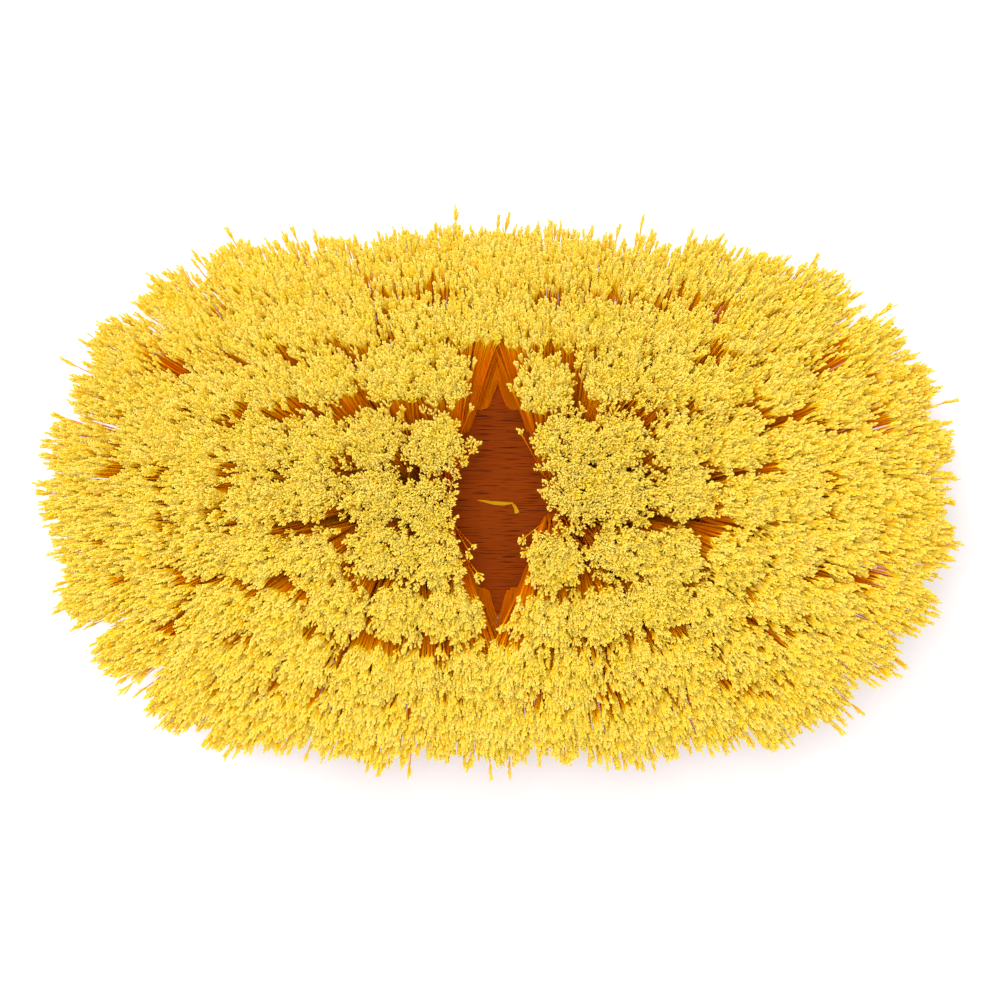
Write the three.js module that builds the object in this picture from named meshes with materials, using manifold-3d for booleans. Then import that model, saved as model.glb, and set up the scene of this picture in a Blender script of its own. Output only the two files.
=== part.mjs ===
// Deck brush head lying on its back, bristles up.
// Millimetres, +Z up. X runs along the block and the origin is the middle of the block's back.
import * as THREE from 'three';
import { mergeVertices } from 'three/addons/utils/BufferGeometryUtils.js';
import Module from 'manifold-3d';

// Hardwood block with fully round ends
const blockLength = 190;
const blockWidth = 78;
const blockThickness = 28;
const backEdgeRound = 4;
const faceEdgeRound = 2;

// Drilled holes: nine straight rows, spaced evenly from the handle socket to the round ends
const drillDepth = 12;
const rowsPerSide = 4;
const tuftPitch = 11;
const tuftEdgeMargin = 6.5;
// Each row's first tuft, in pitches from the socket's middle, from the middle row outwards
const firstTuft = [2, 1.65, 1.5, 1.15, 0.55];
// A hole's floor lies nearer the middle than its mouth, by these factors
const holeDrawAcross = 0.83;
const holeDrawAlong = 0.94;

// Bristles: each strand stands for a bundle of filaments
const trimLength = 66;
const rimDrop = 9;
const fanAcross = 2.45;
const fanAlong = 1.52;
// Share by which the rows of tips draw together towards the ends
const endTuck = 0.2;
// Tips of each row's first tuft, in pitches: they close over the socket in an eye shape
const firstTip = [2.1, 2, 1.15, 0.8, 0.8];
const strandsPerTuft = 3;
const strandSides = 3;
const strandRingRadius = 2.2;
// Radius of the ring of a tuft's strand tips, as a share of the pitch of the tips along a row
const strandTipSpread = 0.3;
const strandRootThickness = 2.4;
const strandTipThickness = 4;
const strandBend = 0.4;
const strandRooting = 1;

// Flat wire anchors at the floors of the holes, joined by a thin web along each half row
const anchorLength = 7;
const anchorHeight = 2.4;
const anchorThickness = 0.6;
const anchorWeb = 0.8;

// Threaded handle socket, slanted along Y and blind
const threadDiameter = 19;
const threadDepth = 1.75;
const threadPitch = 5.08;
const threadCrest = 1.6;
const threadRoot = 2.6;
const socketTilt = THREE.MathUtils.degToRad(35);
const socketMouthY = -10;
const socketFloorWood = 4.5;
const socketWall = 1.5;

// Vinyl bumper strip, pressed into a groove round the block and tacked
const bumperThickness = 4;
const bumperHeight = 14;
const bumperRise = 5;
const bumperRound = 1.8;
const tongueHeight = 2.4;
const tongueDepth = 3;
const bumperJoint = 0.8;
const bumperJointX = 30;

// Tacks through the bumper strip
const tackShankDiameter = 1.6;
const tackHeadDiameter = 4.6;
const tackHeadHeight = 0.9;
const tackHeadFlat = 2.8;
const tackLength = 10;
const tackFromJoint = 7;
const tackSideX = 44;

// Fits and facets
const clearance = 0.3;
const cutReach = 5;
const arcSteps = 8;
const backRoundSteps = 3;
const faceRoundSteps = 2;
const boreSides = 18;
const threadStepsPerTurn = 14;
const tackSides = 8;

const endRadius = blockWidth / 2;
const spine = blockLength / 2 - endRadius;
const shoulder = blockThickness - drillDepth;
const threadRadius = threadDiameter / 2;
const boreRadius = threadRadius - threadDepth;
const socketDepth =
  (blockThickness - socketFloorWood - threadRadius * Math.sin(socketTilt)) / Math.cos(socketTilt);
const edgeReach = endRadius - tuftEdgeMargin;
const rowPitch = edgeReach / rowsPerSide;
const bumperMiddle = bumperRise + bumperHeight / 2;
const strandTipRingRadius = tuftPitch * fanAlong * strandTipSpread;

const wasm = await Module();
wasm.setup();

function solid(geometry) {
  const bare = geometry.clone();
  bare.deleteAttribute('normal');
  bare.deleteAttribute('uv');
  const merged = mergeVertices(bare, 1e-4);
  return new wasm.Manifold(new wasm.Mesh({
    numProp: 3,
    vertProperties: new Float32Array(merged.attributes.position.array),
    triVerts: new Uint32Array(merged.index.array),
  }));
}

function geometryOf(body) {
  const { vertProperties, triVerts } = body.getMesh();
  const geometry = new THREE.BufferGeometry();
  geometry.setAttribute('position', new THREE.BufferAttribute(vertProperties, 3));
  geometry.setIndex(new THREE.BufferAttribute(triVerts, 1));
  geometry.computeVertexNormals();
  return geometry;
}

function cut(body, cutters) {
  return cutters.reduce((rest, cutter) => rest.subtract(cutter), body);
}

function box(low, high) {
  const geometry = new THREE.BoxGeometry(high[0] - low[0], high[1] - low[1], high[2] - low[2]);
  geometry.translate((low[0] + high[0]) / 2, (low[1] + high[1]) / 2, (low[2] + high[2]) / 2);
  return solid(geometry);
}

// Surface through rings of equally many points, closed by the two end rings or back onto the first
function loft(rings, closed) {
  const count = rings[0].length;
  const position = rings.flat().flatMap((point) => [point.x, point.y, point.z]);
  const index = [];
  const last = closed ? rings.length : rings.length - 1;
  for (let ring = 0; ring < last; ring += 1) {
    for (let i = 0; i < count; i += 1) {
      const low = ring * count;
      const high = ((ring + 1) % rings.length) * count;
      const next = (i + 1) % count;
      index.push(low + i, low + next, high + next);
      index.push(low + i, high + next, high + i);
    }
  }
  const top = (rings.length - 1) * count;
  for (let i = 1; i < count - 1 && !closed; i += 1) {
    index.push(0, i + 1, i);
    index.push(top, top + i, top + i + 1);
  }
  const geometry = new THREE.BufferGeometry();
  geometry.setAttribute('position', new THREE.Float32BufferAttribute(position, 3));
  geometry.setIndex(index);
  return geometry;
}

// The block's outline, moved outwards by offset
function outline(offset, z) {
  const path = new THREE.Path();
  path.absarc(spine, 0, endRadius + offset, -Math.PI / 2, Math.PI / 2, false);
  path.absarc(-spine, 0, endRadius + offset, Math.PI / 2, 1.5 * Math.PI, false);
  return path.getPoints(arcSteps).map((point) => new THREE.Vector3(point.x, point.y, z));
}

function stack(levels) {
  return solid(loft(levels.map(([offset, z]) => outline(offset, z)), false));
}

// A strip round the block; its section runs anticlockwise with offset to the right and z up
function wrap(section) {
  return solid(loft(section.map(([offset, z]) => outline(offset, z)), true));
}

// A quarter round between two levels, as offset and height pairs
function rounded(radius, steps, level, rising) {
  return Array.from({ length: steps + 1 }, (_, i) => {
    const angle = (Math.PI / 2) * (i / steps);
    const inset = radius * (1 - (rising ? Math.sin(angle) : Math.cos(angle)));
    const height = radius * (rising ? 1 - Math.cos(angle) : Math.sin(angle));
    return [-inset, level + height];
  });
}

// Drilling layout: a row ends at the edge margin, and the outermost rows turn along it,
// half way to their neighbours' ends
function rowLength(row) {
  const share = row / rowsPerSide;
  if (Math.abs(share) < 1) return spine + edgeReach * Math.sqrt(1 - share * share);
  const neighbour = Math.asin((rowsPerSide - 1) / rowsPerSide);
  return spine + (edgeReach * (Math.PI / 2 - neighbour)) / 2;
}

function tuftPlace(row, along) {
  const y = row * rowPitch;
  if (Math.abs(row) < rowsPerSide || along < spine) return new THREE.Vector2(along, y);
  const angle = (along - spine) / edgeReach;
  return new THREE.Vector2(spine + edgeReach * Math.sin(angle), y * Math.cos(angle));
}

function ofRow(values, row) {
  return values[Math.min(Math.abs(row), values.length - 1)];
}

// Where a tuft's tips end up: evenly spaced along the row and fanned out across it
function tipPlace(row, root, share) {
  const first = ofRow(firstTip, row) * tuftPitch;
  const end = tuftPlace(row, rowLength(row)).x * fanAlong;
  const tuck = endTuck * (root.x / (spine + edgeReach)) ** 2;
  return new THREE.Vector2(
    THREE.MathUtils.lerp(first, end, share),
    root.y * fanAcross * (1 - tuck),
  );
}

// Roots and tips of a row's tufts on the +X side
function rowTufts(row) {
  const first = ofRow(firstTuft, row) * tuftPitch;
  const run = rowLength(row) - first;
  const steps = Math.max(1, Math.round(run / tuftPitch));
  return Array.from({ length: steps + 1 }, (_, i) => {
    const root = tuftPlace(row, first + (run * i) / steps);
    return { root, tip: tipPlace(row, root, i / steps) };
  });
}

// Handle socket
const socketFrame = new THREE.Matrix4()
  .makeRotationX(-socketTilt)
  .setPosition(0, socketMouthY, 0);

function threadRing(turn) {
  const angle = turn * 2 * Math.PI;
  const height = turn * threadPitch;
  const section = [
    [boreRadius - threadDepth, height + threadRoot / 2],
    [threadRadius, height + threadCrest / 2],
    [threadRadius, height - threadCrest / 2],
    [boreRadius - threadDepth, height - threadRoot / 2],
  ];
  return section.map(([radius, z]) => {
    return new THREE.Vector3(radius * Math.cos(angle), radius * Math.sin(angle), z);
  });
}

function makeSocket() {
  const bore = new THREE.CylinderGeometry(boreRadius, boreRadius, socketDepth + 2 * cutReach, boreSides);
  bore.rotateX(Math.PI / 2);
  bore.translate(0, 0, socketDepth / 2 - cutReach);
  const turns = (socketDepth - threadRoot / 2) / threadPitch + 1;
  const steps = Math.round(turns * threadStepsPerTurn);
  const rings = Array.from({ length: steps + 1 }, (_, i) => threadRing((turns * i) / steps - 1));
  const thread = loft(rings, false);
  return solid(bore.applyMatrix4(socketFrame)).add(solid(thread.applyMatrix4(socketFrame)));
}

// Bumper strip and its groove; the strip's outer edges are quarter rounds of two facets
const bumperTop = bumperRise + bumperHeight;
const roundInset = bumperRound * (1 - Math.SQRT1_2);
const bumperSection = [
  [clearance, bumperRise],
  [bumperThickness - bumperRound, bumperRise],
  [bumperThickness - roundInset, bumperRise + roundInset],
  [bumperThickness, bumperRise + bumperRound],
  [bumperThickness, bumperTop - bumperRound],
  [bumperThickness - roundInset, bumperTop - roundInset],
  [bumperThickness - bumperRound, bumperTop],
  [clearance, bumperTop],
  [clearance, bumperMiddle + tongueHeight / 2],
  [-tongueDepth, bumperMiddle + tongueHeight / 2],
  [-tongueDepth, bumperMiddle - tongueHeight / 2],
  [clearance, bumperMiddle - tongueHeight / 2],
];

function makeGroove() {
  const depth = tongueDepth + clearance;
  const half = tongueHeight / 2 + clearance;
  return wrap([
    [-depth, bumperMiddle - half],
    [cutReach, bumperMiddle - half],
    [cutReach, bumperMiddle + half],
    [-depth, bumperMiddle + half],
  ]);
}

function makeBumper(tackHoles) {
  const joint = box(
    [bumperJointX - bumperJoint / 2, endRadius - tongueDepth - cutReach, 0],
    [bumperJointX + bumperJoint / 2, endRadius + bumperThickness + cutReach, blockThickness],
  );
  return cut(wrap(bumperSection), [joint, ...tackHoles]);
}

// Places of the tacks: where each meets the block's side, and the direction that it faces
function tackPlaces() {
  const back = [bumperJointX - tackFromJoint, bumperJointX + tackFromJoint, -tackSideX];
  const front = [-tackSideX, 0, tackSideX];
  return [
    ...back.map((x) => ({ x, y: endRadius, facing: Math.PI / 2 })),
    ...front.map((x) => ({ x, y: -endRadius, facing: -Math.PI / 2 })),
    { x: spine + endRadius, y: 0, facing: 0 },
    { x: -spine - endRadius, y: 0, facing: Math.PI },
  ];
}

// A turned profile, as radius and distance out from the block's side, set at a tack's place
function turnedAt(place, profile) {
  const points = profile.map(([radius, out]) => new THREE.Vector2(radius, out));
  const geometry = new THREE.LatheGeometry(points, tackSides);
  geometry.rotateZ(-Math.PI / 2);
  geometry.rotateZ(place.facing);
  geometry.translate(place.x, place.y, bumperMiddle);
  return solid(geometry);
}

function tackProfile(gap) {
  const shank = tackShankDiameter / 2 + gap;
  const head = tackHeadDiameter / 2 + gap;
  const seat = bumperThickness - tackHeadHeight / 2;
  const tip = seat - tackLength - gap;
  return [
    [0, tip],
    [shank, tip + tackShankDiameter],
    [shank, seat - gap],
    [head, seat - gap],
    [head, seat + tackHeadHeight / 2 + gap],
    [tackHeadFlat / 2, seat + tackHeadHeight + gap],
    [0, seat + tackHeadHeight + gap],
  ];
}

// Anchors of one half row: where each lies along the row, and where the run ends
function anchorRun(row, side) {
  const places = rowTufts(row).map(({ root }) => {
    return new THREE.Vector2(root.x * holeDrawAlong, root.y * holeDrawAcross);
  });
  const ends = [places[0].x - anchorLength / 2, places.at(-1).x + anchorLength / 2];
  return { places, ends, y: places[0].y, side };
}

function makeAnchors(run) {
  const shape = new THREE.Shape();
  shape.moveTo(run.ends[1], 0);
  [...run.places].reverse().forEach((place) => {
    shape.lineTo(place.x + anchorLength / 2, anchorWeb);
    shape.lineTo(place.x + anchorLength / 2, anchorHeight);
    shape.lineTo(place.x - anchorLength / 2, anchorHeight);
    shape.lineTo(place.x - anchorLength / 2, anchorWeb);
  });
  shape.lineTo(run.ends[0], 0);
  const geometry = new THREE.ExtrudeGeometry(shape, { depth: anchorThickness, bevelEnabled: false });
  geometry.translate(0, 0, -anchorThickness / 2);
  geometry.rotateX(Math.PI / 2);
  geometry.translate(0, run.y, shoulder - clearance - anchorHeight);
  if (run.side < 0) {
    geometry.rotateZ(Math.PI);
    geometry.translate(0, 2 * run.y, 0);
  }
  return solid(geometry);
}

function makeAnchorSlot(run) {
  const half = anchorThickness / 2 + clearance;
  const ends = run.ends.map((x) => x * run.side).sort((a, b) => a - b);
  return box(
    [ends[0] - clearance, run.y - half, shoulder - anchorHeight - 2 * clearance],
    [ends[1] + clearance, run.y + half, shoulder + cutReach],
  );
}

// Wood left standing at full height round the socket, between the drilled rows
function makeIsland(gap) {
  const halfWidth = threadRadius + socketWall + gap;
  const halfLength = threadRadius / Math.cos(socketTilt) + socketWall + gap;
  return box(
    [-halfWidth, -halfLength, shoulder - cutReach],
    [halfWidth, halfLength, blockThickness + (gap ? cutReach : 0)],
  );
}

function makeBlock(cutters) {
  const back = rounded(backEdgeRound, backRoundSteps, 0, true);
  const body = stack([...back, [0, shoulder]]).add(makeIsland(0));
  return cut(body, cutters);
}

// One strand, a tapered bar with flat sides that bends outwards
function makeStrand(tuft, side, turn) {
  const mirror = new THREE.Vector2(side, 1);
  const around = new THREE.Vector2(Math.cos(turn), Math.sin(turn));
  const root = around.clone().multiplyScalar(strandRingRadius).add(tuft.root).multiply(mirror);
  const tip = around.clone().multiplyScalar(strandTipRingRadius).add(tuft.tip).multiply(mirror);
  const reach = edgeReach * (fanAcross - 1);
  const lean = tip.distanceTo(root);
  const height = trimLength - rimDrop * (lean / reach) ** 2;
  const rings = [0, 0.5, 1].map((share) => {
    const sideways = share * (1 - strandBend) + share * share * strandBend;
    const middle = root.clone().lerp(tip, sideways);
    const low = share === 0 ? -strandRooting : 0;
    const thickness = THREE.MathUtils.lerp(strandRootThickness, strandTipThickness, share);
    const radius = thickness / (2 * Math.sin(Math.PI / strandSides));
    return Array.from({ length: strandSides }, (_, corner) => {
      const angle = side * (turn + (corner * 2 * Math.PI) / strandSides);
      return new THREE.Vector3(
        middle.x + side * radius * Math.cos(angle),
        middle.y + radius * Math.sin(angle),
        blockThickness + low + height * share,
      );
    });
  });
  return solid(loft(rings, false));
}

function tuftStrands(tuft, side) {
  return Array.from({ length: strandsPerTuft }, (_, i) => {
    const turn = ((i + 0.5) * 2 * Math.PI) / strandsPerTuft;
    return makeStrand(tuft, side, turn);
  });
}

// The drilled layer of the block under some neighbouring rows, with their strands
function makeBristles(rows, cutters) {
  const low = (Math.min(...rows) - 0.5) * rowPitch;
  const high = (Math.max(...rows) + 0.5) * rowPitch;
  const outer = endRadius + cutReach;
  const strip = box(
    [-blockLength, Math.min(...rows) === -rowsPerSide ? -outer : low + clearance / 2, 0],
    [blockLength, Math.max(...rows) === rowsPerSide ? outer : high - clearance / 2, blockThickness],
  );
  const face = rounded(faceEdgeRound, faceRoundSteps, blockThickness - faceEdgeRound, false);
  const layer = stack([[0, shoulder + clearance], ...face]).intersect(strip);
  const strands = rows.flatMap(rowTufts).flatMap((tuft) => {
    return [...tuftStrands(tuft, 1), ...tuftStrands(tuft, -1)];
  });
  const drilled = cut(layer, [makeIsland(clearance), ...cutters]);
  return strands.reduce((body, strand) => body.add(strand), drilled);
}

// Finishes
const finishes = {
  hardwood: { color: '#b07a45', roughness: 0.55, metalness: 0 },
  bristle: { color: '#f5cf3c', roughness: 0.5, metalness: 0 },
  vinyl: { color: '#c9c8d2', roughness: 0.45, metalness: 0 },
  steel: { color: '#b9bcc0', roughness: 0.35, metalness: 1 },
};

const brush = new THREE.Group();

function place(name, body, finish) {
  const mesh = new THREE.Mesh(geometryOf(body), new THREE.MeshStandardMaterial(finishes[finish]));
  mesh.name = name;
  brush.add(mesh);
}

const sides = [[-1, 'left'], [1, 'right']];
const allRows = Array.from({ length: 2 * rowsPerSide + 1 }, (_, i) => i - rowsPerSide);
const anchorRuns = allRows.flatMap((row) => {
  return sides.map(([side, word]) => {
    return { ...anchorRun(row, side), name: `anchors_row_${row + rowsPerSide + 1}_${word}` };
  });
});
const innerRows = Math.floor(rowsPerSide / 2);
const bristleRows = {
  bristles_back_outer: allRows.filter((row) => row > innerRows),
  bristles_back_inner: allRows.filter((row) => row > 0 && row <= innerRows),
  bristles_front_inner: allRows.filter((row) => row <= 0 && row >= -innerRows),
  bristles_front_outer: allRows.filter((row) => row < -innerRows),
};
const groove = makeGroove();
const socket = makeSocket();
const tackHoles = tackPlaces().map((at) => turnedAt(at, tackProfile(clearance)));
const woodCutters = [groove, socket, ...tackHoles];

place('hardwood_block', makeBlock([...woodCutters, ...anchorRuns.map(makeAnchorSlot)]), 'hardwood');
place('bumper_strip', makeBumper(tackHoles), 'vinyl');
tackPlaces().forEach((at, i) => place(`bumper_tack_${i + 1}`, turnedAt(at, tackProfile(0)), 'steel'));
anchorRuns.forEach((run) => place(run.name, makeAnchors(run), 'steel'));
Object.entries(bristleRows).forEach(([name, rows]) => {
  place(name, makeBristles(rows, woodCutters), 'bristle');
});

export default brush;
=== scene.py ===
"""Deck brush head lying on its back, bristles up.

Metres, +Z up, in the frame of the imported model: X runs along the block and the origin is the
middle of the block's back.
"""
import math

import bmesh
import bpy
from mathutils import Matrix, Vector


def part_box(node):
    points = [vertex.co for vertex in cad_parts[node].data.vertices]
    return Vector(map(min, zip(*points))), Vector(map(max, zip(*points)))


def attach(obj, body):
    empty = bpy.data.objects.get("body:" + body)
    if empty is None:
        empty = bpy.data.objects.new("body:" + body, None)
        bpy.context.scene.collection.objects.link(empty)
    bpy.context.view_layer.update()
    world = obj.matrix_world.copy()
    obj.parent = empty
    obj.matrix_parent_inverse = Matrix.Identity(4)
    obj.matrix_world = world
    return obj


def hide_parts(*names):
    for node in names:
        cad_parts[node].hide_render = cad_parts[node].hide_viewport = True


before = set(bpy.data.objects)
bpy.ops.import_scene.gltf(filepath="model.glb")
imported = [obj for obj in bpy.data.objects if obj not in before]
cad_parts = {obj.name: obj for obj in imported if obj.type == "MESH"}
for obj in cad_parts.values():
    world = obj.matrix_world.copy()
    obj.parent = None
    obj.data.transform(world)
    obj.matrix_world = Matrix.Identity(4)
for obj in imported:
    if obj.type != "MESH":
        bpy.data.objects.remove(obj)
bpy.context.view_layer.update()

MM = 0.001

# Hardwood block, a stadium in plan
block_low, block_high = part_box("hardwood_block")
BLOCK_LENGTH = block_high.x - block_low.x
BLOCK_WIDTH = block_high.y - block_low.y
BLOCK_THICKNESS = block_high.z
END_RADIUS = BLOCK_WIDTH / 2
SPINE = BLOCK_LENGTH / 2 - END_RADIUS
BACK_EDGE_ROUND = 4 * MM
FACE_EDGE_ROUND = 2 * MM
END_STEPS = 48
ROUND_STEPS = 6
SHARP_EDGE = math.radians(32)
WELD_DISTANCE = 0.001 * MM

# Drilled holes, nine rows of tufts. The first hole of a row is so many pitches from the middle,
# counted from the middle row outwards. A hole's bottom is drawn in to these shares of its place.
ROWS_PER_SIDE = 4
DRILL_DEPTH = 12 * MM
HOLE_RADIUS = 3 * MM
HOLE_SIDES = 20
TUFT_PITCH = 11 * MM
TUFT_EDGE_MARGIN = 6.5 * MM
FIRST_TUFT = [2, 1.65, 1.5, 1.15, 0.55]
HOLE_DRAW_ACROSS = 0.83
HOLE_DRAW_ALONG = 0.94
EDGE_REACH = END_RADIUS - TUFT_EDGE_MARGIN
ROW_PITCH = EDGE_REACH / ROWS_PER_SIDE

# Bristles: their tips fan out by these factors, and each row's first tip is so many pitches
# from the middle, counted from the front row to the back row
TRIM_LENGTH = 66 * MM
TRIM_SCATTER = 5 * MM
RIM_DROP = 9 * MM
FAN_ACROSS = 2.29
FAN_ALONG = 1.505
END_TUCK = 0.16
FIRST_TIP = [0.15, 0.55, 1.2, 1.65, 2.02, 1.8, 1.5, 0.55, -0.2]
STRANDS_PER_TUFT = 200
STRAND_TURN = math.pi * (3 - math.sqrt(5))
STRAND_THICKNESS = 0.42 * MM
STRAND_BEND = 0.4
STRAND_ROOTING = 3 * MM
TUFT_ROOT_RADIUS = 3.1 * MM
TUFT_TIP_ALONG = 8.8 * MM
TUFT_TIP_ACROSS = 8.0 * MM
TUFT_DOME = 2.5 * MM
RIM_SPLAY = 0.16
RIM_SPLAY_POWER = 4
TUFT_SWAY = 2.4 * MM
STRAND_SWAY = 2.0 * MM
STRAY_SWAY = 8 * MM
STRAY_SHARE = 0.28
# Split ends: blunt splinters that leave each strand along its last stretch, but for the last share
# of it, and burst open less on some strands and near the rim
SPLINTERS = 11
SPLINTER_STRETCH = 0.06
LAST_SPLINTER = 0.3
SPLINTER_LENGTH = 4.5 * MM
SHORTEST_SPLINTER = 0.75
SPLINTER_SPREAD = 1.8 * MM
SPLINTER_THICKNESS = 0.74 * MM
LEAST_BURST = 0.35
RIM_BURST = 0.5
# Random draws: the seed of a row, and what is added to it for each draw
FIRST_SEED = 10
ROW_SEED = 100
DRAWS = {
    "tuft sway": 0, "twist": 1, "strand sway": 3, "trim": 4, "shade": 5,
    "splinter length": 6, "splinter spread": 7, "splinter start": 8, "stray": 9,
}
BOTH_WAYS = ((-1.0, -1.0, -1.0), (1.0, 1.0, 1.0))

# Threaded handle socket, slanted along Y and blind
THREAD_RADIUS = 9.5 * MM
THREAD_DEPTH = 1.75 * MM
THREAD_PITCH = 5.08 * MM
THREAD_CREST = 1.6 * MM
THREAD_ROOT = 2.6 * MM
SOCKET_TILT = math.radians(35)
SOCKET_MOUTH_Y = -10 * MM
SOCKET_FLOOR_WOOD = 4.5 * MM
BORE_RADIUS = THREAD_RADIUS - THREAD_DEPTH
SOCKET_DEPTH = (
    BLOCK_THICKNESS - SOCKET_FLOOR_WOOD - THREAD_RADIUS * math.sin(SOCKET_TILT)
) / math.cos(SOCKET_TILT)
THREAD_STEPS = 32
CUT_REACH = 5 * MM

# Vinyl bumper strip with its tongue in the block's groove
bumper_low, bumper_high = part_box("bumper_strip")
BUMPER_THICKNESS = bumper_high.x - block_high.x
BUMPER_MIDDLE = (bumper_low.z + bumper_high.z) / 2
BUMPER_ROUND = 1.8 * MM
TONGUE_HEIGHT = 2.4 * MM
TONGUE_DEPTH = 3 * MM
BUMPER_JOINT = 0.8 * MM
BUMPER_JOINT_X = 30 * MM
FIT = 0.3 * MM

# Tacks through the bumper strip
TACK_SHANK_RADIUS = 0.8 * MM
TACK_HEAD_RADIUS = 2.3 * MM
TACK_HEAD_HEIGHT = 0.9 * MM
TACK_RIM_SHARE = 1 / 3
TACK_POINT_RADIUS = TACK_SHANK_RADIUS / 8
TACK_POINT_LENGTH = 2 * TACK_SHANK_RADIUS
TACK_LENGTH = 10 * MM
TACK_FROM_JOINT = 7 * MM
TACK_SIDE_X = 44 * MM
TACK_SIDES = 24
TACK_COUNT = 8

# A loose bristle that lies on the block's face: places along it, above the face, and how it swells
LOOSE_BRISTLE = [
    (-6.6 * MM, -0.5 * MM, 0.25 * MM),
    (-4.2 * MM, -0.9 * MM, 0.7 * MM),
    (-1.2 * MM, -1.5 * MM, 1.3 * MM),
    (2.2 * MM, -1.7 * MM, 1.1 * MM),
    (4.8 * MM, -1.5 * MM, 0.6 * MM),
    (5.9 * MM, -2.9 * MM, 0.5 * MM),
    (6.5 * MM, -4.8 * MM, 0.6 * MM),
]
LOOSE_SWELL = [0.3, 0.7, 1.2, 1.2, 0.6, 1.0, 1.6]
LOOSE_THICKNESS = 1.0 * MM
LOOSE_SIDES = 8

# Camera over the tips; a pixel there is this wide
IMAGE_PIXELS = 1000
TIP_PIXEL = 0.31 * MM
CAMERA_DISTANCE = 877 * MM
OBJECT_CENTRE_PIXEL = (497.5, 498.5)

# Studio, in metres and watts: a wide lamp from one side and a small one just above the camera
FLOOR_HALF = 3.0
FLOOR_LIFT = 0.3
SKY_LIGHT = 0.52
LIGHT_TARGET = (0, 0, 0.05)
KEY_PLACE = (-0.8, 0.8, 1.5)
KEY_WIDTH = 0.9
KEY_POWER = 12
TOP_PLACE = (-0.02, 0.02, 1.05)
TOP_WIDTH = 0.25
TOP_POWER = 4.8


def srgb(code):
    """Linear colour of a hex value."""
    parts = [int(code[i:i + 2], 16) / 255 for i in (1, 3, 5)]
    linear = [p / 12.92 if p <= 0.04045 else ((p + 0.055) / 1.055) ** 2.4 for p in parts]
    return (*linear, 1.0)


def add(tree, kind, inputs=None, output=None, **settings):
    """Adds a node with its settings, sets or links its inputs, and returns one of its outputs."""
    made = tree.nodes.new(kind)
    for name, value in settings.items():
        setattr(made, name, value)
    for key, value in (inputs or {}).items():
        live = [socket for socket in made.inputs if socket.enabled and socket.name == key]
        socket = made.inputs[key] if isinstance(key, int) else live[0]
        for source in value if isinstance(value, list) else [value]:
            if isinstance(source, bpy.types.NodeSocket):
                tree.links.new(source, socket)
            else:
                socket.default_value = source
    shown = [socket for socket in made.outputs if socket.enabled and output in (None, socket.name)]
    return shown[0] if shown else None


def calc(tree, operation, *values):
    return add(tree, "ShaderNodeMath", dict(enumerate(values)), operation=operation)


def vector_calc(tree, operation, *values):
    return add(tree, "ShaderNodeVectorMath", dict(enumerate(values)), operation=operation)


def scaled(tree, vector, factor):
    return add(tree, "ShaderNodeVectorMath", {0: vector, "Scale": factor}, operation="SCALE")


def new_material(name):
    material = bpy.data.materials.new(name)
    material.use_nodes = True
    material.node_tree.nodes.clear()
    return material, material.node_tree


def finish_material(tree, **sockets):
    shader = add(tree, "ShaderNodeBsdfPrincipled", sockets)
    add(tree, "ShaderNodeOutputMaterial", {"Surface": shader})


def blend(tree, factor, first, second):
    """A colour between two."""
    return add(tree, "ShaderNodeMix", {"Factor": factor, "A": first, "B": second}, data_type="RGBA")


def rise(tree, value, low, high):
    """Goes smoothly from 0 at low to 1 at high."""
    return add(tree, "ShaderNodeMapRange", {
        "Value": value, "From Min": low, "From Max": high,
    }, interpolation_type="SMOOTHSTEP")


def between(tree, value, low, high):
    """Goes evenly from low to high as the value goes from 0 to 1."""
    return add(tree, "ShaderNodeMapRange", {"Value": value, "To Min": low, "To Max": high})


def round_noise(tree, grain, detail):
    """Noise whose grain is this long every way."""
    place = add(tree, "ShaderNodeTexCoord", output="Object")
    return add(tree, "ShaderNodeTexNoise", {"Vector": place, "Scale": 1 / grain, "Detail": detail})


def long_noise(tree, grain, detail):
    """Noise whose grain is this long along each axis of the piece."""
    place = add(tree, "ShaderNodeTexCoord", output="Object")
    place = add(tree, "ShaderNodeMapping", {
        "Vector": place, "Scale": tuple(1 / length for length in grain),
    })
    return add(tree, "ShaderNodeTexNoise", {"Vector": place, "Scale": 1.0, "Detail": detail})


def lacquered_hardwood():
    """Orange-brown hardwood, hardly glossy: fibres, broad bands and dark pores along X."""
    material, tree = new_material("lacquered_hardwood")
    fibre = long_noise(tree, grain=(26 * MM, 0.55 * MM, 0.55 * MM), detail=4.0)
    band = long_noise(tree, grain=(60 * MM, 6 * MM, 6 * MM), detail=2.0)
    pore = long_noise(tree, grain=(9 * MM, 0.35 * MM, 0.35 * MM), detail=1.0)
    pore = rise(tree, pore, low=0.55, high=0.7)
    tone = blend(tree, fibre, srgb("#922E00"), srgb("#E06600"))
    tone = blend(tree, band, tone, srgb("#AA4C00"))
    tone = blend(tree, pore, tone, srgb("#662400"))
    bump = add(tree, "ShaderNodeBump", {
        "Height": pore, "Strength": 0.25, "Distance": 0.12 * MM,
    }, invert=True)
    rough = between(tree, fibre, low=0.38, high=0.52)
    finish_material(tree, **{
        "Base Color": tone, "Roughness": rough, "Normal": bump,
        "IOR": 1.5, "Specular IOR Level": 0.02,
    })
    return material


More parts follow.
